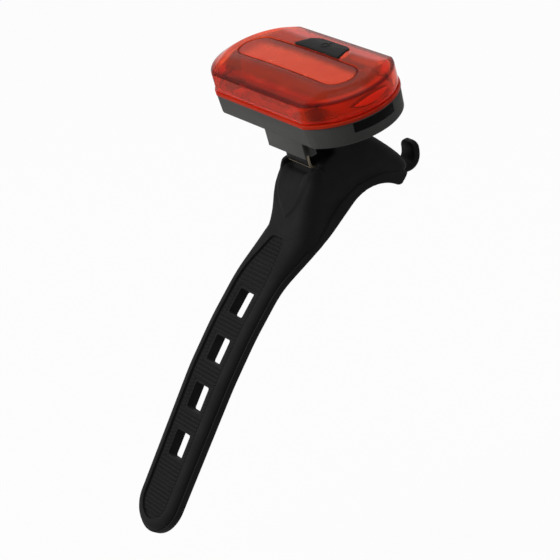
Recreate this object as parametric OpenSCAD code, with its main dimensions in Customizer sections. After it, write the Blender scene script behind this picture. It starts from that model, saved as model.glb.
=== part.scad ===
// Bike rear light on a silicone seat post strap.
// Origin on the seat post's axis, midway across the strap. X runs along the post,
// Y across it towards the hook, and Z up through the lens. All sizes in millimetres.

/* [Light] */
// Length of the light over its rounded ends
light_l = 67.2; // [64:0.2:74]
// Width of the light over its straight sides
light_w = 34; // [33:0.5:37]
// How far each end bows out past the corners of the straight sides
end_bulge = 11.6; // [10:0.2:12.4]
// Height of the lens above the seam
lens_h = 9.5; // [9:0.1:10.5]
// Depth of the housing below the seam
housing_d = 6.4; // [6.4:0.1:8]
// Distance from the middle of the strap to the middle of the light
light_shift = 8; // [5:0.2:8.6]

/* [Lens] */
// Wall of the lens
lens_wall = 1.5; // [1.2:0.1:1.6]
// Height of the flange round the foot of the lens
lip_h = 1.8; // [1.4:0.1:2.2]
// Height of the shoulder where the bevel starts
shoulder_h = 7; // [6.8:0.1:7.4]
// Width of the flat top between the bevels
top_w = 17.2; // [16.8:0.2:19]
// Length of the sunk window
window_l = 52.5; // [46:0.5:53]
// Width of the sunk window
window_w = 11.6; // [10.6:0.2:11.6]
// Depth of the sunk window
window_depth = 0.8; // [0.5:0.1:0.9]

/* [Button] */
// Length of the button's long edge
button_l = 20.6; // [16:0.2:22]
// Width of the button
button_w = 5.6; // [5:0.1:6]
// Height of the button above the lens
button_proud = 0.5; // [0.3:0.1:0.8]
// Travel of the button
button_travel = 0.7; // [0.4:0.1:0.7]

/* [Housing] */
// Wall of the housing
housing_wall = 1.8; // [1.6:0.1:1.8]
// Width of the port plug
plug_w = 13.6; // [11:0.2:14]
// Height of the port plug
plug_h = 2.5; // [2.4:0.1:2.7]

/* [Clip] */
// Width of the clip wall under the housing
clip_wall_w = 18.4; // [14:0.2:19]
// Width of the spring strip
strip_w = 11; // [8:0.5:11.5]
// Thickness of the spring strip
strip_t = 0.8; // [0.6:0.1:1]
// Length of the tongue that slides into the mount
tongue_l = 17; // [14:0.5:18]
// Open height between the tongue and the housing
clip_gap = 10; // [9:0.5:12]

/* [Strap mount] */
// Diameter of the seat post
post_d = 27.2; // [25.4:0.2:29]
// Rubber between the post and the tongue
saddle_h = 11.3; // [11:0.1:12.5]
// Width of the strap
strap_w = 20.4; // [19:0.2:24]
// Thickness of the strap
strap_t = 4; // [3.6:0.1:4.5]
// Length of the neck from the post to the first bend
neck_l = 27; // [26:0.5:32]
// Distance between the strap's holes
hole_pitch = 14.6; // [14:0.1:16]
// Length of each hole
hole_l = 8.2; // [7:0.1:8.4]
// Width of each hole
hole_w = 7; // [6:0.1:8]
// Length of the tail from its hinge line to the tip
tail_l = 48; // [44:0.5:56]
// Width of the strap at its tip
tip_w = 18.4; // [16:0.2:19]
// Width of the hook
hook_w = 6.4; // [5:0.1:6.6]

/* [Hidden] */
$fn = 96;
// clearance between pieces that slide, and between pieces that are seated
slide_gap = 0.3;
seat_gap = 0.05;
over = 1;

// plan of the light: straight sides and two end arcs
half_w = light_w / 2;
end_r = (half_w * half_w + end_bulge * end_bulge) / (2 * end_bulge);
end_c = light_l / 2 - end_r;

// heights of the mount and the light
post_r = post_d / 2;
boss_top = post_r + saddle_h;
tongue_z = boss_top + slide_gap + 0.2;
housing_bottom = tongue_z + strip_t + clip_gap;
seam_z = housing_bottom + housing_d;
light_y = -1.4;

// lens and button
lip_out = 0.3;
lens_draft = 0.3;
end_bevel = 5.5;
crown_r = 600;
ceiling = lens_h - window_depth - lens_wall;
window_y = -0.85;
button_x = 1.9;
button_y = window_y + window_w / 2 + 0.55;
button_taper = 2.6;
flange_z = 5.1;
flange_t = 1;

// seal, board and the pieces on it
seal_in = 1.1;
seal_w = 0.8;
seal_h = 0.8;
board_t = 1;
board_top = 0.4;
board_bottom = board_top - board_t;
board_in = housing_wall + 0.6;
board_y = half_w - board_in;
screw_r = 0.83;
screw_head_r = 1.7;
screw_head_h = 1.2;
screw_slot = 0.5;
boss_r = 2.1;
screw_y = board_y - 5.6;
screw_reach = end_r - board_in - boss_r - 0.5;
screw_x = end_c + sqrt(screw_reach * screw_reach - screw_y * screw_y);
switch_x = button_x;
switch_y = button_y + button_w / 2;
switch_top = 3.2;
plunger_top = 4.3;
plunger_r = 1.5;
switch_w = 5.2;
cob_w = window_w - 4.6;
cob_l = window_l - 8.5;
cob_t = 0.5;
phosphor_w = 3.4;
phosphor_t = 0.6;
reflector_in = 0.3;
reflector_wall = 1;
led = [3.5, 2.8, 1.9];
led_x = end_c - 2;
near_y = (window_y - window_w / 2 - board_y) / 2;
chip = [5, 4, 1.5];
coil = [4.4, 4.4, 2.2];
capacitor = [2, 1.2, 1.2];
capacitor_pitch = end_c / 4;

// housing, battery and port
housing_in = 0.2;
housing_draft = 0.8;
end_draft = 0.3;
foot_w = half_w - housing_in - housing_draft;
foot_r = end_r - housing_in - end_draft;
floor_z = 1.5 - housing_d;
pad_t = 0.5;
lead_r = 0.45;
lead_turn = 1;
battery_l = 2 * (screw_x - boss_r - 4);
battery_w = 2 * (foot_w - housing_wall - 2.2);
battery_h = board_bottom - 0.3 - floor_z - pad_t;
plug_top = -0.6;
plug_t = 0.8;
socket_l = 5.6;
socket_w = 7.5;
socket_h = 2.6;
socket_wall = 0.35;
usb_tongue_t = 0.6;
socket_x = end_c + end_r - housing_in - housing_wall + 0.1;

// clip
wall_t = 4;
wall_drop = 4.9;
strip_cover = 0.6;
strip_y = -foot_w + wall_t - strip_cover - strip_t / 2;
strip_hold = 4;
bend_r = 1.2;

// path of the strap's inner face, as corner points in Y and Z
seat_angle = 54.5;
crease_t = 3.3;
neck_angle = 20.5;
link_1_angle = 38;
link_2_angle = 42.5;
tail_angle = 46.5;
first_hole = 8.2;
neck_root = 13.5;
neck_t = 7;
link_gap = 0.2;
function along(angle) = [-cos(angle), -sin(angle)];
function outward(angle) = [-sin(angle), cos(angle)];
seat_edge = post_r * [-sin(seat_angle), cos(seat_angle)];
bend_0 = seat_edge + neck_root * along(neck_angle);
bend_1 = seat_edge + neck_l * along(neck_angle);
bend_2 = bend_1 + (first_hole + hole_pitch / 2) * along(link_1_angle);
bend_3 = bend_2 + hole_pitch * along(link_2_angle);

// strap section
band_t = 1.75;
shoulder_w = 2;
channel_w = 12.8;
channel_depth = 0.8;
channel_start = 4;
channel_rest = 4.5;

// hook and the lip that holds it
lip_y = 13.2;
hook_t = 2.6;
hook_bend = 2.1;
hook_y = lip_y + 5.9;
hook_z = post_r * cos(seat_angle) + 1.2;
hook_top = 5;
hook_hold = 2.6;
hook_foot_w = 12;
hook_foot_l = 1.4;

// helpers

module at_light() {
    translate([-light_shift, light_y, seam_z]) children();
}

// extrudes a Y-Z outline along X
module across(width) {
    rotate([90, 0, 90]) linear_extrude(width, center = true) children();
}

// extrudes an X-Z outline along Y
module lengthwise(from, to) {
    translate([0, to, 0]) rotate([90, 0, 0]) linear_extrude(to - from) children();
}

function mirrored(half) = concat(half, [for (i = [len(half) - 1:-1:0]) [-half[i][0], half[i][1]]]);

// body with the light's plan: a side profile met by an end profile, both from the bottom up
module light_form(side, ends) {
    low = ends[0][1];
    high = ends[len(ends) - 1][1];
    intersection() {
        across(2 * light_l) polygon(mirrored(side));
        union() {
            for (end = [-1, 1])
                translate([end * end_c, 0, 0])
                    rotate_extrude() polygon(concat([[0, low]], ends, [[0, high]]));
            translate([-end_c, -light_w, low]) cube([2 * end_c, 2 * light_w, high - low]);
        }
    }
}

// straight-walled body with the light's plan, set in from the outside
module light_plan(inset, low, high) {
    light_form([[half_w - inset, low], [half_w - inset, high]],
        [[end_r - inset, low], [end_r - inset, high]]);
}

module slot_bar(length, width, height) {
    union() {
        translate([-(length - width) / 2, -width / 2, 0]) cube([length - width, width, height]);
        for (end = [-1, 1]) translate([end * (length - width) / 2, 0, 0]) cylinder(d = width, h = height);
    }
}

// places a piece on the strap's inner face: its Y runs towards the tip, its Z outward
module on_strap(point, angle) {
    translate([0, point[0], point[1]]) rotate([angle, 0, 0]) rotate([0, 0, 180]) children();
}

// lens and button

module lens_outside() {
    foot = lip_out + lens_draft;
    intersection() {
        light_form(
            [[half_w, 0], [half_w, lip_h], [half_w - lip_out, lip_h], [half_w - foot, shoulder_h],
                [top_w / 2, lens_h]],
            [[end_r, 0], [end_r, lip_h], [end_r - lip_out, lip_h], [end_r - foot, shoulder_h],
                [end_r - end_bevel, lens_h]]);
        translate([0, 0, lens_h - crown_r]) rotate([90, 0, 0])
            cylinder(r = crown_r, h = 2 * light_w, center = true, $fn = 900);
    }
}

module lens_inside() {
    foot = lip_out + lens_draft + lens_wall;
    light_form(
        [[half_w - foot, -over], [half_w - foot, shoulder_h - 1], [top_w / 2 - 0.5, ceiling]],
        [[end_r - foot, -over], [end_r - foot, shoulder_h - 1], [end_r - end_bevel - 0.5, ceiling]]);
}

module button_outline(grow) {
    far_r = 1.8;
    near_r = 0.4;
    hull() {
        for (side = [-1, 1]) {
            translate([button_x + side * (button_l / 2 - near_r), button_y + near_r])
                circle(near_r + grow, $fn = 32);
            translate([button_x + side * (button_l / 2 - button_taper - far_r), button_y + button_w - far_r])
                circle(far_r + grow, $fn = 32);
        }
    }
}

module lens_cover() {
    color([0.72, 0.1, 0.06, 0.75]) at_light() difference() {
        lens_outside();
        lens_inside();
        translate([0, window_y, lens_h - window_depth]) slot_bar(window_l, window_w, 2);
        translate([0, 0, ceiling - 2]) linear_extrude(lens_h) button_outline(0.15);
        light_plan(seal_in - 0.1, -over, seal_h);
    }
}

module mode_button() {
    color([0.16, 0.16, 0.16]) at_light() {
        intersection() {
            translate([0, 0, flange_z + flange_t / 2]) linear_extrude(lens_h) button_outline(0);
            translate([0, 0, button_proud]) lens_outside();
        }
        translate([0, 0, flange_z]) linear_extrude(flange_t) button_outline(0.5);
        translate([switch_x, switch_y, plunger_top]) cylinder(r = plunger_r, h = flange_z - plunger_top + 0.4);
    }
}

// housing

module housing_outside(inset) {
    edge = 0.3;
    side = [[foot_w - edge, -housing_d], [foot_w, edge - housing_d], [half_w - housing_in, 0]];
    ends = [[foot_r - edge, -housing_d], [foot_r, edge - housing_d], [end_r - housing_in, 0]];
    light_form([for (point = side) point - [inset, 0]], [for (point = ends) point - [inset, 0]]);
}

module housing_inside() {
    light_form(
        [[foot_w - housing_wall, floor_z], [half_w - housing_in - housing_wall, over]],
        [[foot_r - housing_wall, floor_z], [end_r - housing_in - housing_wall, over]]);
}

module at_screws() {
    for (x = [-1, 1]) for (y = [-1, 1]) translate([x * screw_x, y * screw_y, 0]) children();
}

// box centred on the port, running out through the end of the housing
module port_box(width, height, from) {
    translate([from, -width / 2, plug_top - plug_h / 2 - height / 2]) cube([light_l, width, height]);
}

module rear_housing() {
    color([0.3, 0.3, 0.295]) at_light() difference() {
        union() {
            difference() {
                housing_outside(0);
                housing_inside();
            }
            at_screws() translate([0, 0, floor_z - 0.2]) cylinder(r = boss_r, h = board_bottom - floor_z + 0.2);
            translate([light_shift - clip_wall_w / 2, -foot_w, -housing_d - wall_drop])
                cube([clip_wall_w, wall_t, wall_drop + 1]);
        }
        at_screws() translate([0, 0, floor_z + 0.4]) cylinder(r = screw_r + 0.02, h = housing_d);
        difference() {
            port_box(plug_w + 0.4, plug_h + 0.4, end_c);
            housing_outside(plug_t + 0.1);
        }
        port_box(socket_w + 0.4, plug_h + 0.4, end_c + 8);
        translate([light_shift - strip_w / 2, strip_y - strip_t / 2, -housing_d - wall_drop - over])
            cube([strip_w, strip_t, strip_hold + over]);
    }
}

module housing_seal() {
    color([0.12, 0.12, 0.12]) at_light() difference() {
        light_plan(seal_in, 0, seal_h);
        light_plan(seal_in + seal_w, -over, seal_h + over);
    }
}

module port_plug() {
    color([0.07, 0.07, 0.07]) at_light() {
        difference() {
            intersection() {
                port_box(plug_w, plug_h, end_c);
                housing_outside(0);
            }
            housing_outside(plug_t);
        }
        intersection() {
            port_box(socket_w - 0.8, plug_h - 0.5, socket_x + slide_gap);
            housing_outside(plug_t / 2);
        }
    }
}

// board and the pieces on it

// block standing on the middle of its foot
module on_board(size) {
    translate([-size[0] / 2, -size[1] / 2, 0]) cube(size);
}

module led_board() {
    color([0.12, 0.3, 0.2]) at_light() difference() {
        light_plan(board_in, board_bottom, board_top);
        at_screws() translate([0, 0, -housing_d]) cylinder(r = screw_r + 0.2, h = 2 * housing_d);
    }
}

module cob_board() {
    color([0.9, 0.9, 0.88]) at_light() translate([0, window_y, board_top]) slot_bar(cob_l, cob_w, cob_t);
}

module cob_phosphor() {
    color([0.9, 0.75, 0.3]) at_light() translate([0, window_y, board_top + cob_t])
        slot_bar(cob_l - cob_w + phosphor_w, phosphor_w, phosphor_t);
}

module reflector() {
    height = ceiling - 0.2 - board_top;
    outer = 2 * reflector_in;
    inner = outer + 2 * reflector_wall;
    color([0.93, 0.93, 0.92]) at_light() translate([0, window_y, board_top]) difference() {
        slot_bar(window_l - outer, window_w - outer, height);
        translate([0, 0, -over]) slot_bar(window_l - inner, window_w - inner, height + 2 * over);
    }
}

module side_leds() {
    color([0.92, 0.9, 0.82]) at_light()
        for (x = [-1, 1]) for (y = [-1, 1])
            translate([x * led_x, y * (board_y - led[1] / 2 - 0.4), board_top]) on_board(led);
}

module driver_chip() {
    color([0.08, 0.08, 0.08]) at_light()
        translate([chip[0] / 2 + screw_head_r + 1 - screw_x, near_y, board_top]) on_board(chip);
}

module inductor() {
    color([0.14, 0.13, 0.13]) at_light()
        translate([screw_x - coil[0] / 2 - screw_head_r - 1, near_y, board_top]) on_board(coil);
}

module capacitors() {
    color([0.7, 0.6, 0.45]) at_light()
        for (step = [-1.5, -0.5, 0.5, 1.5])
            translate([step * capacitor_pitch, near_y, board_top]) on_board(capacitor);
}

module board_screws() {
    color([0.75, 0.75, 0.74]) at_light() at_screws() difference() {
        union() {
            translate([0, 0, board_top]) cylinder(r = screw_head_r, h = screw_head_h);
            translate([0, 0, floor_z + 0.6]) cylinder(r = screw_r, h = board_top - floor_z);
        }
        for (turn = [0, 90])
            rotate([0, 0, turn]) translate([0, 0, board_top + screw_head_h / 2])
                on_board([1.4 * screw_head_r, screw_slot, screw_head_h]);
    }
}

module battery_cell() {
    color([0.72, 0.74, 0.76]) at_light()
        translate([0, 0, floor_z + pad_t]) on_board([battery_l, battery_w, battery_h]);
}

module battery_pad() {
    color([0.25, 0.25, 0.27]) at_light()
        translate([0, 0, floor_z]) on_board([battery_l - 4, battery_w - 4, pad_t]);
}

module battery_leads() {
    rise = board_bottom - floor_z - pad_t - battery_h / 2;
    color([0.75, 0.12, 0.1]) at_light() for (side = [-1, 1])
        translate([-battery_l / 2, side * 4, floor_z + pad_t + battery_h / 2]) {
            rotate([0, -90, 0]) cylinder(r = lead_r, h = lead_turn);
            translate([-lead_turn, 0, lead_turn]) rotate([-90, 0, 0]) rotate([0, 0, 90])
                rotate_extrude(angle = 90) translate([lead_turn, 0]) circle(lead_r);
            translate([-2 * lead_turn, 0, lead_turn]) cylinder(r = lead_r, h = rise - lead_turn);
        }
}

module usb_shell() {
    color([0.78, 0.78, 0.78]) at_light() difference() {
        translate([socket_x - socket_l / 2, 0, board_bottom - socket_h]) on_board([socket_l, socket_w, socket_h]);
        translate([socket_x - socket_l / 2 + socket_wall, 0, board_bottom - socket_h + socket_wall])
            on_board([socket_l, socket_w - 2 * socket_wall, socket_h - 2 * socket_wall]);
    }
}

module usb_tongue() {
    length = 0.7 * socket_l;
    color([0.1, 0.1, 0.1]) at_light()
        translate([socket_x - socket_l + socket_wall + length / 2, 0, board_bottom - (socket_h + usb_tongue_t) / 2])
            on_board([length, socket_w * 0.6, usb_tongue_t]);
}

module tact_switch() {
    color([0.2, 0.2, 0.2]) at_light() difference() {
        translate([switch_x, switch_y, board_top]) on_board([switch_w, switch_w, switch_top - board_top]);
        translate([switch_x, switch_y, board_top + 0.4]) cylinder(r = plunger_r + 0.1, h = housing_d);
    }
}

module switch_plunger() {
    color([0.85, 0.82, 0.75]) at_light()
        translate([switch_x, switch_y, board_top + 0.5 + button_travel])
            cylinder(r = plunger_r, h = plunger_top - 0.05 - board_top - 0.5 - button_travel);
}

// spring strip: a leg held in the clip wall, a bend and the sliding tongue

module clip_spring() {
    leg_top = housing_bottom - wall_drop + strip_hold;
    bend_z = tongue_z + strip_t + bend_r;
    leg_y = light_y + strip_y;
    color([0.6, 0.58, 0.55]) {
        translate([-strip_w / 2, leg_y - strip_t / 2, bend_z]) cube([strip_w, strip_t, leg_top - bend_z]);
        translate([0, leg_y + strip_t / 2 + bend_r, bend_z]) across(strip_w) intersection() {
            difference() {
                circle(bend_r + strip_t);
                circle(bend_r);
            }
            translate([-2 * bend_r, -2 * bend_r]) square(2 * bend_r);
        }
        translate([-strip_w / 2, leg_y + strip_t / 2 + bend_r, tongue_z]) cube([strip_w, tongue_l, strip_t]);
    }
}

// strap mount

// rubber that lies on the post, up to the crease line
module seat_band() {
    neck_end = bend_0 - link_gap / 2 * along(neck_angle);
    lip_z = hook_z - 0.9;
    across(strap_w) polygon(concat(
        [neck_end, seat_edge, [-seat_edge[0], seat_edge[1]], [lip_y, lip_z], [lip_y, hook_z + hook_t + 1]],
        [for (a = [-42:6:48]) (post_r + crease_t) * [-sin(a), cos(a)]],
        [neck_end + crease_t * outward(neck_angle)]));
}

// body of the saddle above the band: neck front, floor under the clip, tower and back slope
module saddle_body() {
    neck_end = bend_0 - link_gap / 2 * along(neck_angle);
    band_z = seat_edge[1] + 2;
    front = light_y - foot_w + wall_t + 0.5;
    back = front + tongue_l + 1.4;
    top = housing_bottom - 0.5;
    intersection() {
        across(strap_w) polygon([neck_end + outward(neck_angle), [seat_edge[0], band_z],
            [lip_y - 0.2, band_z], [lip_y - 0.2, boss_top - 12.4], [lip_y + 1.1, boss_top - 12.4],
            [lip_y + 1.8, boss_top - 11.2], [lip_y + 1.2, boss_top - 8.9], [lip_y, boss_top - 6.7],
            [lip_y - 1.7, boss_top - 4.2], [back + 3.7, boss_top - 1.1], [back + 1.4, boss_top + 1.8],
            [back + 0.1, boss_top + 4.5], [back - 1.3, top], [front + 6.5, top], [front + 5.9, boss_top + 3.8],
            [front, boss_top + 2], [front, boss_top], [front - 2.8, boss_top], [front - 5.1, boss_top - 2],
            [front - 8.2, boss_top - 6.7], [front - 10.7, boss_top - 11.5],
            neck_end + neck_t * outward(neck_angle)]);
        lengthwise(-40, 40) polygon(mirrored([[strap_w / 2 - 0.4, 0], [strap_w / 2 - 0.4, boss_top - 8],
            [strap_w / 2 - 0.75, boss_top - 5], [strap_w / 2 - 1.5, boss_top - 1],
            [strap_w / 2 - 3.6, boss_top + 11.4]]));
    }
}

// pocket for the hook: its stem and the wider foot that keeps it in
module hook_root(gap) {
    translate([-hook_w / 2 - gap, lip_y - hook_hold - gap, hook_z - gap])
        cube([hook_w + 2 * gap, hook_hold + 2 * gap, hook_t + 2 * gap]);
    translate([-hook_foot_w / 2 - gap, lip_y - hook_hold - gap, hook_z - gap])
        cube([hook_foot_w + 2 * gap, hook_foot_l + 2 * gap, hook_t + 2 * gap]);
}

module strap_saddle() {
    pocket_w = strip_w + 2 * slide_gap;
    pocket_end = light_y + strip_y + strip_t / 2 + bend_r + tongue_l + slide_gap;
    color([0.12, 0.12, 0.12]) difference() {
        union() {
            seat_band();
            saddle_body();
        }
        rotate([0, 90, 0]) cylinder(r = post_r, h = 2 * strap_w, center = true);
        translate([-pocket_w / 2, -40, tongue_z - slide_gap])
            cube([pocket_w, pocket_end + 40, strip_t + 2 * slide_gap]);
        hook_root(seat_gap);
    }
}

module strap_hook() {
    centre = hook_z + hook_t + hook_bend;
    color([0.05, 0.05, 0.05]) {
        hook_root(0);
        translate([-hook_w / 2, lip_y - 0.5, hook_z]) cube([hook_w, hook_y - lip_y + 0.5, hook_t]);
        translate([0, hook_y, centre]) across(hook_w) intersection() {
            difference() {
                circle(hook_bend + hook_t);
                circle(hook_bend);
            }
            translate([0, -2 * hook_t - hook_bend]) square(2 * hook_t + hook_bend);
        }
        translate([-hook_w / 2, hook_y + hook_bend, centre])
            cube([hook_w, hook_t, hook_top - hook_bend - hook_t]);
        translate([0, hook_y + hook_bend + hook_t / 2, hook_z + hook_top]) rotate([0, 90, 0])
            cylinder(d = hook_t, h = hook_w, center = true);
    }
}

// D-shaped section of the strap: flat inner face, square lower edges and rounded shoulders
module strap_section(thick) {
    rise = strap_t - band_t;
    shoulder = [for (a = [0:15:90]) [strap_w / 2 - shoulder_w * (1 - cos(a)), thick - rise * (1 - sin(a))]];
    polygon(mirrored(concat([[strap_w / 2, 0]], shoulder)));
}

module strap_bar(from, to, thick) {
    lengthwise(from, to) strap_section(thick);
}

module strap_channel(from, to) {
    translate([-channel_w / 2, from, strap_t - channel_depth]) cube([channel_w, to - from, 2 * channel_depth]);
}

module strap_hole(at) {
    translate([0, at, -over]) rotate([0, 0, 90]) linear_extrude(strap_t + 2 * over) hull()
        for (x = [-1, 1]) for (y = [-1, 1])
            translate([x * (hole_l / 2 - 1.6), y * (hole_w / 2 - 1.6)]) circle(1.6, $fn = 32);
}

// slab of space between two hinge lines, each end mitred to the angles that meet there
module link_space(start, start_angle, end, end_angle, angle) {
    step = link_gap / 2 * along(angle);
    reach = 3 * strap_t;
    a = start + step;
    b = end - step;
    across(2 * strap_w) polygon([a - 0.5 * outward(start_angle), b - 0.5 * outward(end_angle),
        b + reach * outward(end_angle), a + reach * outward(start_angle)]);
}

module strap_neck() {
    length = neck_l - neck_root;
    fall = atan((neck_t - strap_t) / length);
    top_l = length / cos(fall);
    bend = (neck_angle + link_1_angle) / 2;
    color([0.12, 0.12, 0.12]) intersection() {
        link_space(bend_0, neck_angle, bend_1, bend, neck_angle);
        on_strap(bend_0, neck_angle) lengthwise_slab(length + 3);
        on_strap(bend_0 + (neck_t - 2 * strap_t) * outward(neck_angle), neck_angle + fall) difference() {
            strap_bar(-4, top_l + 6, 2 * strap_t);
            translate([0, 0, strap_t]) strap_channel(channel_start, top_l + 6);
        }
    }
}

// space on the outer side of the strap's inner face
module lengthwise_slab(length) {
    translate([-strap_w, -3, 0]) cube([2 * strap_w, length + 3, 4 * strap_t]);
}

module strap_link(start, start_angle, end, end_angle, angle, hole_at) {
    color([0.12, 0.12, 0.12]) intersection() {
        link_space(start, start_angle, end, end_angle, angle);
        on_strap(start, angle) difference() {
            strap_bar(-3, hole_pitch + first_hole, strap_t);
            strap_channel(-4, hole_pitch + first_hole + over);
            strap_hole(hole_at);
        }
    }
}

module strap_link_1() {
    strap_link(bend_1, (neck_angle + link_1_angle) / 2, bend_2, (link_1_angle + link_2_angle) / 2,
        link_1_angle, first_hole);
}

module strap_link_2() {
    strap_link(bend_2, (link_1_angle + link_2_angle) / 2, bend_3, (link_2_angle + tail_angle) / 2,
        link_2_angle, hole_pitch / 2);
}

module strap_tail() {
    tip_r = tip_w / 2;
    bend = (link_2_angle + tail_angle) / 2;
    color([0.12, 0.12, 0.12]) intersection() {
        link_space(bend_3, bend, bend_3 + (tail_l + over) * along(tail_angle), tail_angle, tail_angle);
        on_strap(bend_3, tail_angle) difference() {
            intersection() {
                strap_bar(-3, tail_l, strap_t);
                translate([0, 0, -over]) linear_extrude(2 * strap_t) union() {
                    translate([0, tail_l - tip_r]) circle(tip_r);
                    polygon([[strap_w / 2, -4], [strap_w / 2, 0], [tip_r, tail_l - tip_r],
                        [-tip_r, tail_l - tip_r], [-strap_w / 2, 0], [-strap_w / 2, -4]]);
                }
            }
            strap_channel(-4, tail_l - channel_rest);
            strap_hole(hole_pitch / 2);
            strap_hole(hole_pitch * 1.5);
        }
    }
}

lens_cover();
rear_housing();
housing_seal();
led_board();
cob_board();
cob_phosphor();
reflector();
side_leds();
driver_chip();
inductor();
capacitors();
board_screws();
battery_cell();
battery_pad();
battery_leads();
usb_shell();
usb_tongue();
tact_switch();
switch_plunger();
mode_button();
port_plug();
clip_spring();
strap_saddle();
strap_hook();
strap_neck();
strap_link_1();
strap_link_2();
strap_tail();
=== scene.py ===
import math
from contextlib import contextmanager
import bpy
import numpy as np
from mathutils import Matrix, Vector


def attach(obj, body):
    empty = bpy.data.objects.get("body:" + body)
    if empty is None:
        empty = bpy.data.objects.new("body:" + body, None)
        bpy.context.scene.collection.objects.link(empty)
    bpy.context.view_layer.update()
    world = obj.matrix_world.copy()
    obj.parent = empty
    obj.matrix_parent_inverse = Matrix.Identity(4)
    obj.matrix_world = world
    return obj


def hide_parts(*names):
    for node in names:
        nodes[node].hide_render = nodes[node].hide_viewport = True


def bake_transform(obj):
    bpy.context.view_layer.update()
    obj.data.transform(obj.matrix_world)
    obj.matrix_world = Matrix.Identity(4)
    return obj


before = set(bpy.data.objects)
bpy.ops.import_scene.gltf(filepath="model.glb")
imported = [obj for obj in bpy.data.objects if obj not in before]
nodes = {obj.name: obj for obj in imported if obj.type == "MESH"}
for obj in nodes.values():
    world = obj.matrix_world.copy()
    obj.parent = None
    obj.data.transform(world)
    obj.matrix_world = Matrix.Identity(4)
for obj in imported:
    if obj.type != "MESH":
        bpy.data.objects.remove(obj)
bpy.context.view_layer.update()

mm = 0.001
scene = bpy.context.scene
print("frame loaded:", len(nodes), "nodes")


# small tools for picking, copying and finishing pieces

def makeActive(piece):
    bpy.ops.object.select_all(action="DESELECT")
    piece.select_set(True)
    bpy.context.view_layer.objects.active = piece


def applySteps(piece):
    makeActive(piece)
    for step in list(piece.modifiers):
        bpy.ops.object.modifier_apply(modifier=step.name)


def newPiece(name, points, faces):
    mesh = bpy.data.meshes.new(name)
    mesh.from_pydata([tuple(p) for p in points], [], faces)
    mesh.update()
    piece = bpy.data.objects.new(name, mesh)
    scene.collection.objects.link(piece)
    makeActive(piece)
    return piece


@contextmanager
def editing(piece, action="SELECT"):
    # edit mode with all of the mesh picked, or none of it
    makeActive(piece)
    bpy.ops.object.mode_set(mode="EDIT")
    bpy.ops.mesh.select_all(action=action)
    yield
    bpy.ops.object.mode_set(mode="OBJECT")


def cleanMesh(piece, merge=0.002, dissolve=None, normals=False):
    with editing(piece):
        bpy.ops.mesh.remove_doubles(threshold=merge * mm)
        if dissolve:
            bpy.ops.mesh.dissolve_limited(angle_limit=math.radians(dissolve))
        if normals:
            bpy.ops.mesh.normals_make_consistent(inside=False)


def copyNode(nodeName, pieceName, dissolve=0.4):
    piece = bpy.data.objects.new(pieceName, nodes[nodeName].data.copy())
    scene.collection.objects.link(piece)
    makeActive(piece)
    if piece.data.has_custom_normals:
        bpy.ops.mesh.customdata_custom_splitnormals_clear()
    piece.data.materials.clear()
    cleanMesh(piece, dissolve=dissolve)
    return piece


def roundEdges(piece, width, steps=3, angle=24):
    edge = piece.modifiers.new("softEdge", "BEVEL")
    edge.width = width * mm
    edge.segments = steps
    edge.limit_method = "ANGLE"
    edge.angle_limit = math.radians(angle)
    edge.miter_outer = "MITER_ARC"
    applySteps(piece)


def joinPieces(first, *others):
    makeActive(first)
    for piece in others:
        piece.select_set(True)
    bpy.ops.object.join()
    return first


def smoothShade(piece, angle=30):
    makeActive(piece)
    bpy.ops.object.shade_smooth_by_angle(angle=math.radians(angle))


def finishPiece(piece, material, body=None, stands=()):
    piece.data.materials.clear()
    piece.data.materials.append(material)
    if body:
        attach(piece, body)
    if stands:
        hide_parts(*stands)


def smoothStep(value):
    t = np.clip(value, 0, 1)
    return t * t * (3 - 2 * t)


def setInputs(tree, node, inputs):
    # each input takes a value, or a link from another node's output
    for key, value in inputs.items():
        if isinstance(value, bpy.types.NodeSocket):
            tree.links.new(value, node.inputs[key])
        else:
            node.inputs[key].default_value = value


def addNode(tree, kind, inputs, **values):
    node = tree.nodes.new("ShaderNode" + kind)
    for key, value in values.items():
        setattr(node, key, value)
    setInputs(tree, node, inputs)
    return node


def addMath(tree, operation, *inputs):
    return addNode(tree, "Math", dict(enumerate(inputs)), operation=operation).outputs[0]


# camera and light

cameraSetup = {
    "place": (493.22, -286.22, 297.20),   # mm
    "azimuth": 62.632, "elevation": 28.47, "roll": -16.198,   # degrees
    "focal": 2200, "picture": 560, "sensor": 36,              # pixels, pixels, mm
    "clip": (0.01, 20),                                       # m
}


def addCamera(setup):
    az, el, roll = (math.radians(setup[k]) for k in ("azimuth", "elevation", "roll"))
    right = Vector((math.cos(az), math.sin(az), 0))
    back = Vector((math.sin(az) * math.cos(el), -math.cos(az) * math.cos(el), math.sin(el)))
    up = back.cross(right)
    turnedRight = math.cos(roll) * right + math.sin(roll) * up
    turnedUp = -math.sin(roll) * right + math.cos(roll) * up
    data = bpy.data.cameras.new("studioCamera")
    data.sensor_fit = "HORIZONTAL"
    data.sensor_width = setup["sensor"]
    data.lens = setup["sensor"] * setup["focal"] / setup["picture"]
    data.clip_start, data.clip_end = setup["clip"]
    camera = bpy.data.objects.new("studioCamera", data)
    scene.collection.objects.link(camera)
    turn = Matrix((turnedRight, turnedUp, back)).transposed().to_4x4()
    camera.matrix_world = Matrix.Translation(Vector(setup["place"]) * mm) @ turn
    scene.camera = camera


addCamera(cameraSetup)

studioLight = {
    "target": (-4, 0, 30),   # mm
    "lamps": {               # place in mm, size in mm, watts
        "keyLamp": ((-260, -620, 520), 420, 4.6),
        "topLamp": ((60, 140, 800), 600, 2.2),
        "backLamp": ((420, 520, 260), 350, 0.4),
    },
    "world": 0.12,
    "floor": -96, "floorSize": 6000,             # mm
    "floorTone": 0.6, "floorWhite": 0.96,        # grey under the shadow, share of plain white over it
}


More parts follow.
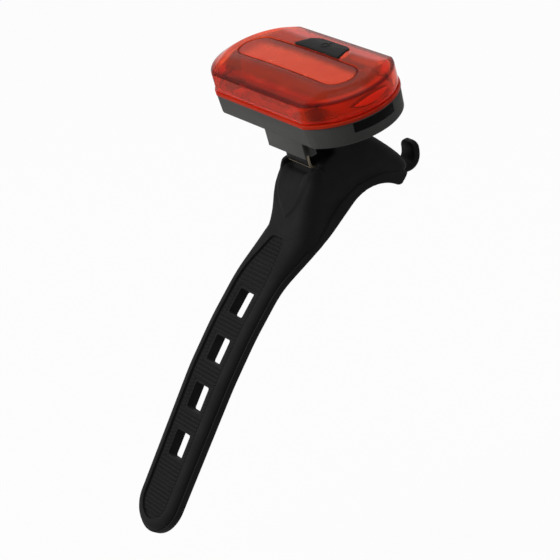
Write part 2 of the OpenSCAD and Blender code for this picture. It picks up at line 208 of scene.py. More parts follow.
def addLamps(setup):
    target = Vector(setup["target"]) * mm
    for name, (place, size, watts) in setup["lamps"].items():
        data = bpy.data.lights.new(name, "AREA")
        data.shape = "DISK"
        data.size = size * mm
        data.energy = watts
        lamp = bpy.data.objects.new(name, data)
        scene.collection.objects.link(lamp)
        lamp.location = Vector(place) * mm
        lamp.rotation_euler = (target - lamp.location).to_track_quat("-Z", "Y").to_euler()


addLamps(studioLight)
plainWhite = (1, 1, 1, 1)


def backgroundRays(tree):
    rays = addNode(tree, "LightPath", {}).outputs
    most = addMath(tree, "MAXIMUM", rays["Is Camera Ray"], rays["Is Glossy Ray"])
    return addMath(tree, "MAXIMUM", most, rays["Is Transmission Ray"])


def addWorld(setup):
    world = bpy.data.worlds.new("studioWorld")
    scene.world = world
    world.use_nodes = True
    tree = world.node_tree
    tree.nodes.clear()
    soft = addNode(tree, "Background", {"Color": plainWhite, "Strength": setup["world"]})
    white = addNode(tree, "Background", {"Color": plainWhite, "Strength": 1})
    mix = addNode(tree, "MixShader", {0: backgroundRays(tree), 1: soft.outputs[0], 2: white.outputs[0]})
    addNode(tree, "OutputWorld", {"Surface": mix.outputs[0]})


addWorld(studioLight)


def addFloor(setup):
    bpy.ops.object.select_all(action="DESELECT")
    bpy.ops.mesh.primitive_plane_add(size=setup["floorSize"] * mm, location=(0, 0, setup["floor"] * mm))
    floor = bpy.context.object
    floor.name = "studioFloor"
    material = bpy.data.materials.new("floorWhite")
    material.use_nodes = True
    tree = material.node_tree
    tree.nodes.clear()
    matt = addNode(tree, "BsdfDiffuse", {"Color": (*[setup["floorTone"]] * 3, 1)})
    glow = addNode(tree, "Emission", {"Color": plainWhite})
    share = addMath(tree, "MULTIPLY", backgroundRays(tree), setup["floorWhite"])
    mix = addNode(tree, "MixShader", {0: share, 1: matt.outputs[0], 2: glow.outputs[0]})
    addNode(tree, "OutputMaterial", {"Surface": mix.outputs[0]})
    floor.data.materials.append(material)


addFloor(studioLight)
scene.view_settings.view_transform = "Standard"
print("camera, lamps and floor set")


# shared shader groups

def newGroup(name, inputs, outputs):
    group = bpy.data.node_groups.new(name, "ShaderNodeTree")
    for label, kind, value in inputs:
        socket = group.interface.new_socket(name=label, in_out="INPUT", socket_type=kind)
        if value is not None:
            socket.default_value = value
    for label, kind in outputs:
        group.interface.new_socket(name=label, in_out="OUTPUT", socket_type=kind)
    return group, group.nodes.new("NodeGroupInput"), group.nodes.new("NodeGroupOutput")


def moulding():
    # fine moulded grain, broad mottle and a few scuffs, all from object coordinates
    group, start, end = newGroup(
        "mouldedSurface",
        [("Vector", "NodeSocketVector", None), ("Grain Size", "NodeSocketFloat", 4000.0),
         ("Mottle Size", "NodeSocketFloat", 120.0)],
        [("Grain", "NodeSocketFloat"), ("Mottle", "NodeSocketFloat"), ("Scuff", "NodeSocketFloat")])
    place = start.outputs["Vector"]
    grain = addNode(group, "TexNoise", {"Vector": place, "Scale": start.outputs["Grain Size"], "Detail": 3})
    mottle = addNode(group, "TexNoise", {"Vector": place, "Scale": start.outputs["Mottle Size"],
                                         "Detail": 4, "Roughness": 0.6})
    spread = addNode(group, "MapRange", {"Value": mottle.outputs["Fac"], "From Min": 0.3, "From Max": 0.7})
    stretch = addNode(group, "Mapping", {"Vector": place, "Rotation": (0.3, 0.5, 0.8), "Scale": (1, 0.12, 1)})
    scuff = addNode(group, "TexNoise", {"Vector": stretch.outputs["Vector"], "Scale": 900,
                                        "Detail": 6, "Roughness": 0.7})
    keep = addNode(group, "MapRange", {"Value": scuff.outputs["Fac"], "From Min": 0.6, "From Max": 0.78})
    setInputs(group, end, {"Grain": grain.outputs["Fac"], "Mottle": spread.outputs["Result"],
                           "Scuff": keep.outputs["Result"]})
    return group


def edgeWear():
    # mask of worn edges, from the mesh's own curvature
    group, start, end = newGroup(
        "edgeWear", [("Vector", "NodeSocketVector", None)], [("Edge", "NodeSocketFloat")])
    shape = addNode(group, "NewGeometry", {})
    edge = addNode(group, "MapRange", {"Value": shape.outputs["Pointiness"],
                                       "From Min": 0.52, "From Max": 0.62})
    breakUp = addNode(group, "TexNoise", {"Vector": start.outputs["Vector"], "Scale": 400, "Detail": 4})
    worn = addMath(group, "MULTIPLY", edge.outputs["Result"], breakUp.outputs["Fac"])
    setInputs(group, end, {"Edge": worn})
    return group


mouldedGroup = moulding()
wearGroup = edgeWear()


def mixColour(tree, mask, *colours):
    mix = addNode(tree, "Mix", {"Factor": mask}, data_type="RGBA")
    for socket, colour in zip([i for i, s in enumerate(mix.inputs) if s.type == "RGBA"], colours):
        setInputs(tree, mix, {socket: (*colour, 1) if isinstance(colour, tuple) else colour})
    return [s for s in mix.outputs if s.type == "RGBA"][0]


def scaleMask(tree, mask, low, high):
    return addNode(tree, "MapRange", {"Value": mask, "To Min": low, "To Max": high}).outputs["Result"]


bandCore = 0.3      # share of a band's half width that has its full strength
grainDepth = 0.02   # mm, for a finish without a depth of its own


def bandMask(tree, place, band, uneven=None):
    # full strength in the middle of a band across one axis, none past its sides; uneven noise narrows it
    half = band["half"] * mm
    split = addNode(tree, "SeparateXYZ", {"Vector": place})
    away = addMath(tree, "SUBTRACT", split.outputs[band["axis"]], band["at"] * mm)
    away = addMath(tree, "ABSOLUTE", away)
    if uneven is not None:
        away = addMath(tree, "MULTIPLY_ADD", uneven, band["uneven"] * half, away)
    fade = addNode(tree, "MapRange", {"Value": away, "From Min": half, "From Max": bandCore * half,
                                      "To Max": band["by"]}, interpolation_type="SMOOTHSTEP")
    return fade.outputs["Result"]


def moulded(name, look):
    # one finish: two tones by mottle, worn edges, scuffs, a blotchy band of painted shade and bands of
    # painted light and shade, fine grain in bump, roughness by mottle
    material = bpy.data.materials.new(name)
    material.use_nodes = True
    tree = material.node_tree
    place = addNode(tree, "TexCoord", {}).outputs["Object"]
    sizes = {"Grain Size": look["grain"], "Mottle Size": look["mottle"]}
    surface = addNode(tree, "Group", {"Vector": place, **sizes}, node_tree=mouldedGroup)
    colour = mixColour(tree, surface.outputs["Mottle"], look["dark"], look["light"])
    if "worn" in look:
        wear = addNode(tree, "Group", {"Vector": place}, node_tree=wearGroup)
        mask = scaleMask(tree, wear.outputs["Edge"], 0, look["wornBy"])
        colour = mixColour(tree, mask, colour, look["worn"])
    if "scuffed" in look:
        mask = scaleMask(tree, surface.outputs["Scuff"], 0, look["scuffBy"])
        colour = mixColour(tree, mask, colour, look["scuffed"])
    # blotchy band of painted shade
    if "shadeBlotch" in look:
        band = look["shadeBlotch"]
        sizes = {"Mottle Size": band["shadeNoise"]}
        shadeNoise = addNode(tree, "Group", {"Vector": place, **sizes}, node_tree=mouldedGroup)
        colour = mixColour(tree, bandMask(tree, place, band, shadeNoise.outputs["Mottle"]), colour, band["tone"])
    # bands of painted light and shade across one axis
    for band in look.get("lightAndShadeBands", ()):
        colour = mixColour(tree, bandMask(tree, place, band), colour, band["tone"])
    bump = addNode(tree, "Bump", {"Strength": look["bump"], "Height": surface.outputs["Grain"],
                                  "Distance": look.get("bumpDepth", grainDepth) * mm})
    rough = scaleMask(tree, surface.outputs["Mottle"], *look["rough"])
    setInputs(tree, tree.nodes["Principled BSDF"], {
        "Base Color": colour, "Roughness": rough, "Normal": bump.outputs["Normal"], **look.get("set", {})})
    return material


bareEdgeGlint = {"half": 0.25, "tone": (0.62, 0.54, 0.40), "by": 0.95}     # cut edge of the clip strip: bare metal, brightened into a painted glint
# painted highlight along the lower bend of the clip strip
bendHighlight = {"half": 0.32, "tone": (0.5, 0.43, 0.32), "by": 0.9}
paintedRimShade = {"tone": (0.34, 0.03, 0.014), "by": 0.75}                  # painted shade on the far edge and left end of the lens
# painted shade along the lens shoulder, at the height of its inside corner
shoulderShade = {"half": 0.64, "tone": (0.07, 0.009, 0.005), "by": 0.92}
windowEndShade = {"half": 9.5, "tone": (0.5, 0.036, 0.016), "by": 0.8}       # painted shade on the left end of the window, past the end of the LED strip
finishes = {   # grain and mottle are noise scales; bands of painted light and shade have their place and half width in mm
    "siliconeBlack": {
        "dark": (0.0052, 0.0052, 0.0054), "light": (0.0075, 0.0075, 0.0073), "grain": 2600, "mottle": 160,
        "worn": (0.028, 0.028, 0.027), "wornBy": 0.5, "scuffed": (0.02, 0.02, 0.02), "scuffBy": 0.25,
        "rough": (0.66, 0.8), "bump": 0.5, "set": {"Specular IOR Level": 0.11}},
    "hookPlastic": {
        "dark": (0.0066, 0.0066, 0.0067), "light": (0.0095, 0.0095, 0.0094), "grain": 3200, "mottle": 200,
        "worn": (0.02, 0.02, 0.02), "wornBy": 0.6,
        "rough": (0.38, 0.5), "bump": 0.25, "set": {"Specular IOR Level": 0.04}},
    "housingGrey": {
        "dark": (0.078, 0.077, 0.075), "light": (0.092, 0.091, 0.088), "grain": 5200, "mottle": 90,
        "worn": (0.14, 0.138, 0.133), "wornBy": 0.35, "scuffed": (0.12, 0.118, 0.114), "scuffBy": 0.2,
        "rough": (0.5, 0.62), "bump": 0.6, "set": {"Specular IOR Level": 0.02}},
    "buttonRubber": {
        "dark": (0.0125, 0.0125, 0.0125), "light": (0.017, 0.017, 0.0165), "grain": 4200, "mottle": 220,
        "worn": (0.05, 0.05, 0.05), "wornBy": 0.5,
        "rough": (0.5, 0.62), "bump": 0.4, "set": {"Specular IOR Level": 0.05}},
    "plugRubber": {
        "dark": (0.004, 0.004, 0.004), "light": (0.007, 0.007, 0.007), "grain": 4200, "mottle": 220,
        "worn": (0.02, 0.02, 0.02), "wornBy": 0.5,
        "rough": (0.55, 0.68), "bump": 0.4, "set": {"Specular IOR Level": 0.03}},
    "sealRubber": {
        "dark": (0.012, 0.012, 0.012), "light": (0.02, 0.02, 0.02), "grain": 4000, "mottle": 200,
        "rough": (0.5, 0.65), "bump": 0.3},
    "reflectorWhite": {
        "dark": (0.78, 0.77, 0.75), "light": (0.86, 0.86, 0.84), "grain": 3000, "mottle": 150,
        "rough": (0.25, 0.4), "bump": 0.2},
    "boardMask": {
        "dark": (0.52, 0.52, 0.5), "light": (0.62, 0.62, 0.6), "grain": 2500, "mottle": 420,
        "scuffed": (0.45, 0.44, 0.4), "scuffBy": 0.5, "rough": (0.25, 0.4), "bump": 0.3},
    "phosphorYellow": {
        "dark": (0.72, 0.5, 0.08), "light": (0.85, 0.64, 0.16), "grain": 3500, "mottle": 500,
        "rough": (0.4, 0.55), "bump": 0.4},
    "chipBlack": {
        "dark": (0.012, 0.012, 0.012), "light": (0.025, 0.025, 0.025), "grain": 6000, "mottle": 600,
        "worn": (0.06, 0.06, 0.06), "wornBy": 0.5, "rough": (0.45, 0.6), "bump": 0.5},
    "ceramicTan": {
        "dark": (0.34, 0.24, 0.13), "light": (0.46, 0.34, 0.2), "grain": 5000, "mottle": 700,
        "rough": (0.35, 0.5), "bump": 0.3},
    "ledResin": {
        "dark": (0.75, 0.72, 0.6), "light": (0.86, 0.84, 0.74), "grain": 5000, "mottle": 600,
        "rough": (0.25, 0.4), "bump": 0.2},
    "screwSteel": {
        "dark": (0.5, 0.5, 0.49), "light": (0.62, 0.62, 0.6), "grain": 6000, "mottle": 500,
        "rough": (0.25, 0.42), "bump": 0.2, "set": {"Metallic": 1.0}},
    "cellFoil": {
        "dark": (0.5, 0.52, 0.54), "light": (0.62, 0.64, 0.66), "grain": 900, "mottle": 140,
        "rough": (0.25, 0.4), "bump": 0.6, "bumpDepth": 0.1, "set": {"Metallic": 0.8}},
    "padFoam": {
        "dark": (0.05, 0.05, 0.055), "light": (0.09, 0.09, 0.1), "grain": 1800, "mottle": 500,
        "rough": (0.85, 0.95), "bump": 0.9, "bumpDepth": 0.1},
    "leadRed": {
        "dark": (0.42, 0.025, 0.018), "light": (0.55, 0.04, 0.03), "grain": 3500, "mottle": 400,
        "rough": (0.4, 0.55), "bump": 0.2},
    "socketSteel": {
        "dark": (0.55, 0.55, 0.55), "light": (0.68, 0.68, 0.68), "grain": 5000, "mottle": 400,
        "scuffed": (0.4, 0.4, 0.4), "scuffBy": 0.5,
        "rough": (0.22, 0.38), "bump": 0.2, "set": {"Metallic": 1.0}},
    # the strip's worn edges and the bands at both cut edges are bare metal brightened into painted glints;
    # the band along the bend is a painted highlight
    "springSteel": {
        "dark": (0.004, 0.0038, 0.0035), "light": (0.008, 0.0076, 0.007), "grain": 3000, "mottle": 260,
        "worn": (0.3, 0.27, 0.21), "wornBy": 0.5, "scuffed": (0.02, 0.018, 0.016), "scuffBy": 0.4,
        "lightAndShadeBands": [{"axis": "X", "at": 5.6, **bareEdgeGlint}, {"axis": "X", "at": -5.6, **bareEdgeGlint},
                  {"axis": "Z", "at": 26.35, **bendHighlight}],
        "rough": (0.3, 0.45), "bump": 0.3, "set": {"Specular IOR Level": 0.04}},
    "plungerCream": {
        "dark": (0.62, 0.58, 0.47), "light": (0.72, 0.68, 0.56), "grain": 4000, "mottle": 500,
        "rough": (0.4, 0.55), "bump": 0.2},
    "grooveShadeRed": {
        "dark": (0.11, 0.008, 0.005), "light": (0.16, 0.012, 0.007), "grain": 3800, "mottle": 140,
        "rough": (0.4, 0.55), "bump": 0.2, "set": {"Specular IOR Level": 0.04}},
    "lensRed": {
        "dark": (0.9, 0.076, 0.016), "light": (0.97, 0.11, 0.032), "grain": 3800, "mottle": 140,
        "worn": (0.75, 0.085, 0.025), "wornBy": 0.3,
        "shadeBlotch": {"axis": "Y", "at": -15.4, "half": 3.6, "shadeNoise": 190, "uneven": 0.45,
                   "tone": (0.32, 0.016, 0.006), "by": 0.58},   # painted shadows of parts inside
        "lightAndShadeBands": [{"axis": "Z", "at": 49.6, **shoulderShade},
                  {"axis": "Y", "at": 15.6, "half": 2.6, **paintedRimShade},
                  {"axis": "X", "at": -41.6, "half": 2.2, **paintedRimShade}],
        "rough": (0.05, 0.1), "bump": 0.2,
        "set": {"Transmission Weight": 0.8, "IOR": 1.16, "Specular IOR Level": 0.04}},
    "lipRed": {
        "dark": (0.58, 0.028, 0.008), "light": (0.70, 0.046, 0.013), "grain": 3800, "mottle": 140,
        "worn": (0.6, 0.08, 0.05), "wornBy": 0.3, "rough": (0.12, 0.2), "bump": 0.2,
        "set": {"Transmission Weight": 0.3, "IOR": 1.25, "Specular IOR Level": 0.04}},
    "windowRed": {
        "dark": (0.88, 0.092, 0.034), "light": (0.95, 0.124, 0.05), "grain": 3800, "mottle": 140,
        "worn": (0.75, 0.1, 0.06), "wornBy": 0.3,
        "shadeBlotch": {"axis": "Y", "at": 3.4, "half": 4.6, "shadeNoise": 190, "uneven": 0.12,
                   "tone": (0.27, 0.034, 0.02), "by": 0.88},    # painted shade on the duller far part
        "lightAndShadeBands": [{"axis": "X", "at": -34.5, **windowEndShade}],
        "rough": (0.2, 0.3), "bump": 0.2,
        "set": {"Transmission Weight": 0.4, "IOR": 1.25, "Specular IOR Level": 0.04}},
}
finish = {name: moulded(name, look) for name, look in finishes.items()}
print("finishes made:", len(finish))


# lens: rings of the light's plan carried up its profile, open inside

lightPlace = Vector((-8.0, -1.4, 42.6))   # mm, middle of the seam

lensShape = {   # mm; plan of the foot first, then profiles from the foot up
    "half": 17.0, "endR": 18.257, "endC": 15.343, "corner": 0.8,
    "lip": [(0.12, 0.0), (0.0, 0.12), (0.0, 0.75), (0.05, 0.9), (0.17, 0.99), (0.34, 1.02), (0.92, 1.02),
            (1.0, 1.08), (1.0, 1.74), (1.08, 1.78), (2.0, 1.78), (2.1, 1.7), (2.1, 0.95), (1.95, 0.8),
            (1.1, 0.8), (1.0, 0.72), (1.0, 0.1), (0.9, 0.0)],   # inset, height
    "foot": [(2.0, 1.8), (1.12, 1.8), (1.04, 1.7), (1.04, 1.5), (0.96, 1.42), (0.5, 1.42), (0.4, 1.46),
             (0.36, 1.56)],                         # inset, height
    "wallTop": 0.36, "shoulder": 7.0, "ease": 0.6, "easeUp": 0.1,
    "sideBevel": 8.04, "endBevel": 5.14, "bevelTo": 1.15, "rise": 2.5, "crown": 1200.0, "melt": 0.35,
    "rings": (6, 11, 30),                           # on the wall, the shoulder and the bevel
    "window": (52.5, 11.6, -0.85), "floor": 8.7,    # length, width and place across
    "mouth": [(0.15, 0.0), (0.1, 0.02), (0.03, 0.07), (0.0, 0.16)],   # wider by, below the crown
    "floorEdge": [(0.0, 0.06), (-0.06, 0.0)],       # wider by, above the floor
    "inside": [(2.1, 2.1, 1.9), (2.1, 2.1, 3.2), (2.1, 2.1, 5.5), (2.2, 2.2, 5.85), (2.6, 2.4, 6.08),
               (5.7, 4.2, 6.64), (8.3, 5.7, 7.1), (8.9, 6.0, 7.19), (9.4, 6.5, 7.2)],   # side, end, height
    "plate": {"length": 51.3, "width": 10.4, "low": 8.72, "foot": 0.05, "drop": 0.1, "edge": 0.16},
    "groove": {"gap": 0.06, "low": 0.02, "drop": 0.22},
    "buttonGap": 0.15, "buttonCut": (5.0, 11.0),
}
sideSteps, cornerSteps, endSteps = 44, 6, 40            # points of a ring, so that all rings match
quarterTurn = np.radians((0, 22, 45, 68, 90))           # steps of a rounded edge


def arcPoints(centre, radius, first, last, count):
    turn = np.linspace(first, last, count, endpoint=False)
    return [(centre[0] + radius * math.cos(a), centre[1] + radius * math.sin(a)) for a in turn]


def linePoints(first, last, count):
    return [tuple(p) for p in np.linspace(first, last, count, endpoint=False)]


def planRing(shape, sideIn, endIn):
    # straight sides, end arcs and rounded corners at the given insets
    a, r, f, c = shape["half"] - sideIn, shape["endR"] - endIn, shape["corner"], shape["endC"]
    cx = c + math.sqrt((r - f) ** 2 - (a - f) ** 2)
    lean, turn = math.atan2(a - f, cx - c), math.pi / 2
    ring = linePoints((-cx, -a), (cx, -a), sideSteps)
    ring += arcPoints((cx, f - a), f, -turn, -lean, cornerSteps)
    ring += arcPoints((c, 0), r, -lean, lean, endSteps)
    ring += arcPoints((cx, a - f), f, lean, turn, cornerSteps)
    return ring + [(-x, -y) for x, y in ring]


def slotRing(length, width, across):
    half, r, turn = (length - width) / 2, width / 2, math.pi / 2
    ring = linePoints((-half, -r), (half, -r), sideSteps)
    ring += arcPoints((half, 0), r, -turn, turn, endSteps + 2 * cornerSteps)
    return [(x, y + across) for x, y in ring + [(-x, -y) for x, y in ring]]


def softLow(first, second, blend):
    return min(first, second) - max(blend - abs(first - second), 0) ** 2 / (4 * blend)


def crownAt(shape, x):
    return shape["shoulder"] + shape["rise"] - x * x / shape["crown"]


def underCrown(shape, flat, drop):
    return [(x, y, crownAt(shape, x) - drop) for x, y in flat]


def ringPiece(name, rings, loop=False, origin=lightPlace, merge=0.003):
    # skin over rings of the same count, closed at both ends or back to the first ring
    count, total = len(rings[0]), len(rings)
    points = [(Vector(p) + origin) * mm for ring in rings for p in ring]
    faces = [] if loop else [tuple(range(count)), tuple(range((total - 1) * count, total * count))]
    for i in range(total if loop else total - 1):
        for k in range(count):
            n, j = (i + 1) % total, (k + 1) % count
            faces.append((i * count + k, i * count + j, n * count + j, n * count + k))
    piece = newPiece(name, points, faces)
    cleanMesh(piece, merge=merge, normals=True)
    return piece


def raised(ring, height):
    return [(x, y, height) for x, y in ring]


def lensRings(shape):
    rings = [raised(planRing(shape, s, e), z) for s, e, z in reversed(shape["inside"])]
    rings += [raised(planRing(shape, i, i), z) for i, z in shape["foot"]]
    (inset, foot), edge, wall = shape["foot"][-1], shape["shoulder"], shape["wallTop"]
    low, up = edge - shape["ease"], shape["easeUp"]
    wallRings, easeRings, bevelRings = shape["rings"]
    for z in np.linspace(foot, low, wallRings)[1:]:
        i = inset + (wall - inset) * (z - foot) / (edge - foot)
        rings.append(raised(planRing(shape, i, i), z))
    start, corner = (i, i, low), (wall, wall, edge)
    over = (wall + up * shape["sideBevel"], wall + up * shape["endBevel"], edge + up * shape["rise"])
    for t in np.linspace(0, 1, easeRings)[1:]:
        s, e, z = (a * (1 - t) ** 2 + 2 * b * t * (1 - t) + c * t * t for a, b, c in zip(start, corner, over))
        rings.append(raised(planRing(shape, s, e), z))
    for t in np.linspace(up, shape["bevelTo"], bevelRings)[1:]:
        flat = planRing(shape, wall + t * shape["sideBevel"], wall + t * shape["endBevel"])
        slope = edge + t * shape["rise"]
        rings.append([(x, y, softLow(slope, crownAt(shape, x), shape["melt"])) for x, y in flat])
    length, width, across = shape["window"]
    mouth = [slotRing(length + 2 * grow, width + 2 * grow, across) for grow, drop in shape["mouth"]]
    last = rings[-1]
    for t in (0.3, 0.6, 0.85, 1):   # flat top between the bevel and the window
        flat = [(a[0] + (b[0] - a[0]) * t, a[1] + (b[1] - a[1]) * t) for a, b in zip(last, mouth[0])]
        rings.append(underCrown(shape, flat, 0))
    for flat, (grow, drop) in zip(mouth[1:], shape["mouth"][1:]):
        rings.append(underCrown(shape, flat, drop))
    for grow, lift in shape["floorEdge"]:
        rings.append(raised(slotRing(length + 2 * grow, width + 2 * grow, across), shape["floor"] + lift))
    return rings


def plateRings(shape):
    # inlaid window plate, a hair below the lens round it
    plate, across = shape["plate"], shape["window"][2]
    length, width, edge, foot = (plate[k] for k in ("length", "width", "edge", "foot"))
    rings = [raised(slotRing(length - 2 * foot, width - 2 * foot, across), plate["low"]),
             raised(slotRing(length, width, across), plate["low"] + foot)]
    for a in quarterTurn:
        inset = edge * (1 - math.cos(a))
        flat = slotRing(length - 2 * inset, width - 2 * inset, across)
        rings.append(underCrown(shape, flat, plate["drop"] + edge * (1 - math.sin(a))))
    for share in (0.8, 0.6, 0.4, 0.2, 0):
        narrow = (width - 2 * edge) * share
        flat = slotRing(length - width + narrow, narrow, across)
        rings.append(underCrown(shape, flat, plate["drop"]))
    return rings


buttonPlan = {
    "centre": 1.6, "near": 5.2, "deep": 7.1,   # mm
    "nearHalf": 10.7, "farHalf": 9.2, "nearR": 0.5, "farR": 4.0,
    "steps": (9, 12, 9),                       # on a corner, the near line and the far line
}


def buttonOutline(plan, grow):
    # rounded trapezium of the button, widened by grow
    nearX, farX = plan["nearHalf"] - plan["nearR"], plan["farHalf"] - plan["farR"]
    nearY, farY = plan["near"] + plan["nearR"], plan["near"] + plan["deep"] - plan["farR"]
    span = math.hypot(nearX - farX, farY - nearY)
    side = math.atan2(nearX - farX, farY - nearY) + math.asin((plan["nearR"] - plan["farR"]) / span)
    onCorner, onNear, onFar = plan["steps"]
    corner = []
    for centre, r, first, last in (((nearX, nearY), plan["nearR"], -math.pi / 2, side),
                                   ((farX, farY), plan["farR"], side, math.pi / 2)):
        corner += [(centre[0] + (r + grow) * math.cos(a), centre[1] + (r + grow) * math.sin(a))
                   for a in np.linspace(first, last, onCorner)]
    nearLine = linePoints((0, corner[0][1]), corner[0], onNear)
    farLine = linePoints(corner[-1], (0, corner[-1][1]), onFar)[1:]
    right = nearLine + corner + farLine
    ring = right + [(0, right[-1][1])] + [(-x, y) for x, y in reversed(right[1:])]
    return [(x + plan["centre"], y) for x, y in ring]


def cutWith(piece, cutter):
    cut = piece.modifiers.new("cut", "BOOLEAN")
    cut.object = cutter
    cut.solver = "EXACT"
    applySteps(piece)
    bpy.data.objects.remove(cutter)


def grooveRings(shape):
    # ring at the bottom of the gap between the plate and the lens, painted dark as shade
    groove, across = shape["groove"], shape["window"][2]
    sizes = [(shape["window"][0] - groove["gap"], shape["window"][1] - groove["gap"]),
             (shape["plate"]["length"] + groove["gap"], shape["plate"]["width"] + groove["gap"])]
    rings = [raised(slotRing(*size, across), shape["floor"] + groove["low"]) for size in sizes]
    return rings + [underCrown(shape, slotRing(*size, across), groove["drop"]) for size in reversed(sizes)]


def addLens(shape):
    piece = ringPiece("lensShell", lensRings(shape))
    hole = buttonOutline(buttonPlan, shape["buttonGap"])
    cutWith(piece, ringPiece("buttonHole", [raised(hole, z) for z in shape["buttonCut"]]))
    smoothShade(piece, angle=32)
    finishPiece(piece, finish["lensRed"], "light", ("lens_cover",))
    lipRings = [raised(planRing(shape, i, i), z) for i, z in shape["lip"]]
    for name, rings, loop, finishName in (("lensLip", lipRings, True, "lipRed"),
                                          ("windowPlate", plateRings(shape), False, "windowRed"),
                                          ("windowGroove", grooveRings(shape), True, "grooveShadeRed")):
        trim = ringPiece(name, rings, loop)
        smoothShade(trim, angle=40)
        finishPiece(trim, finish[finishName], "light")
    print("lens made:", len(piece.data.polygons), "faces")


addLens(lensShape)


# eye-shaped windows inside both ends of the lens, on a black frame that stands in for the shade in the gaps
# round them

endEyes = {   # degrees round the end, mm from its centre, mm above the seam
    "endWindow": {"turn": (-16, 30), "radius": 16.0, "deep": 0.7, "mid": 3.3, "half": 1.25,
                  "finish": "reflectorWhite", "slot": "white_plastic"},
    # black sheet standing in for shade round the white window
    "endShadeFrame": {"turn": (-21, 35), "radius": 15.2, "deep": 0.6, "mid": 3.3, "half": 1.9,
                 "finish": "chipBlack", "slot": "chip"},
}
eyeSteps, eyePoints, eyePower = 32, 12, 0.9   # rings of an eye, points of a ring, fullness of its outline


def eyeRings(look, side):
    # flat ovals along the end's arc, tall in the middle and pointed at both ends
    first, last = (math.radians(a) for a in look["turn"])
    rings = []
    for u in np.linspace(0.01, 0.99, eyeSteps):
        turn, tall = first + (last - first) * u, look["half"] * (1 - (2 * u - 1) ** 2) ** eyePower
        ring = []
        for a in np.linspace(0, 2 * math.pi, eyePoints, endpoint=False):
            r = look["radius"] - look["deep"] / 2 + look["deep"] / 2 * math.cos(a)
            x, y = lensShape["endC"] + r * math.cos(turn), r * math.sin(turn)
            ring.append((side * x, side * y, look["mid"] + tall * math.sin(a)))
        rings.append(ring)
    return rings


for pieceName, look in endEyes.items():
    piece = joinPieces(*[ringPiece(pieceName, eyeRings(look, side)) for side in (1, -1)])
    smoothShade(piece, angle=50)
    finishPiece(piece, finish[look["finish"]], "light")


# hard pieces: rounded copies of the CAD nodes

def boxCutter(low, high):
    bpy.ops.object.select_all(action="DESELECT")
    bpy.ops.mesh.primitive_cube_add(size=1, location=[(a + b) / 2 * mm for a, b in zip(low, high)])
    cutter = bpy.context.object
    cutter.scale = [(b - a) * mm for a, b in zip(low, high)]
    bpy.ops.object.transform_apply(location=True, rotation=True, scale=True)
    return cutter


def bevelEdges(piece, test, width, steps):
    # bevel of the edges whose two ends pass the test
    with editing(piece, "DESELECT"):
        bpy.ops.mesh.select_mode(type="EDGE")
    for edge in piece.data.edges:
        edge.select = test(*(piece.data.vertices[i].co / mm for i in edge.vertices))
    bpy.ops.object.mode_set(mode="EDIT")
    bpy.ops.mesh.bevel(offset=width * mm, segments=steps)
    bpy.ops.object.mode_set(mode="OBJECT")


clipHollow = {   # mm, at both ends of the clip wall
    "end": 9.2, "reach": 1.6, "past": 1.0, "y": (-17.0, -15.4), "z": (31.0, 35.7),
}


def hollowClip(piece, look):
    for side in (-1, 1):
        x = sorted((side * (look["end"] - look["reach"]), side * (look["end"] + look["past"])))
        cutWith(piece, boxCutter(*zip(x, look["y"], look["z"])))


housingCorner = {   # top and foot of an upright corner: mm from the light's middle, and height
    "top": (21.96, 16.8, 42.6), "foot": (23.0, 15.7, 36.2),
    "span": (-0.01, 0.96), "near": 0.3, "soft": 0.8, "steps": 5,
}


def softCorners(piece, look):
    # wider bevel on the housing's four upright corners
    top, foot = (np.array(look[k]) for k in ("top", "foot"))

    def onCorner(point):
        share = (top[2] - point.z) / (top[2] - foot[2])
        place = np.array((abs(point.x - lightPlace.x), abs(point.y - lightPlace.y)))
        away = np.linalg.norm(place - top[:2] - share * (foot - top)[:2])
        return look["span"][0] < share < look["span"][1] and away < look["near"]

    bevelEdges(piece, lambda a, b: bool(onCorner(a) and onCorner(b)), look["soft"], look["steps"])


def fineMesh(piece, cuts):
    with editing(piece):
        bpy.ops.mesh.subdivide(number_cuts=cuts)


roundedCopies = {   # piece: node, body, finish, slot, edge radius mm
    "housingTray": ("rear_housing", "light", "housingGrey", "housing", 0.3),
    "portFlap": ("port_plug", "plug", "plugRubber", "plug_rubber", 0.2),
    "clipStrip": ("clip_spring", "light", "springSteel", "spring_steel", 0.15),
}
for pieceName, (nodeName, body, finishName, slotName, radius) in roundedCopies.items():
    piece = copyNode(nodeName, pieceName)
    if pieceName == "housingTray":
        hollowClip(piece, clipHollow)
        softCorners(piece, housingCorner)
    roundEdges(piece, radius)
    if pieceName == "clipStrip":   # wear stays at the edges of a finer mesh
        fineMesh(piece, cuts=8)
    smoothShade(piece)
    finishPiece(piece, finish[finishName], body, (nodeName,))
print("rounded copies made")


# mode button: follows the lens surface, with a raised power sign

buttonShape = {"proud": 0.5, "foot": 5.1, "edge": 0.35}
buttonSign = {   # mm and degrees; the section is in shares of line and rise
    "place": (1.9, 8.6), "ring": 1.35, "bar": 1.5, "line": 0.36, "rise": 0.14, "gap": 62,
    "section": ((-0.5, -0.8), (-0.5, 0.6), (-0.35, 1), (0.35, 1), (0.5, 0.6), (0.5, -0.8)),
    "steps": (33, 9),   # along the ring and the bar
}


def lensHeight(shape, x, y):
    inset = shape["half"] - abs(y)
    t = (inset - shape["wallTop"]) / shape["sideBevel"]
    return softLow(shape["shoulder"] + t * shape["rise"], crownAt(shape, x), shape["melt"])


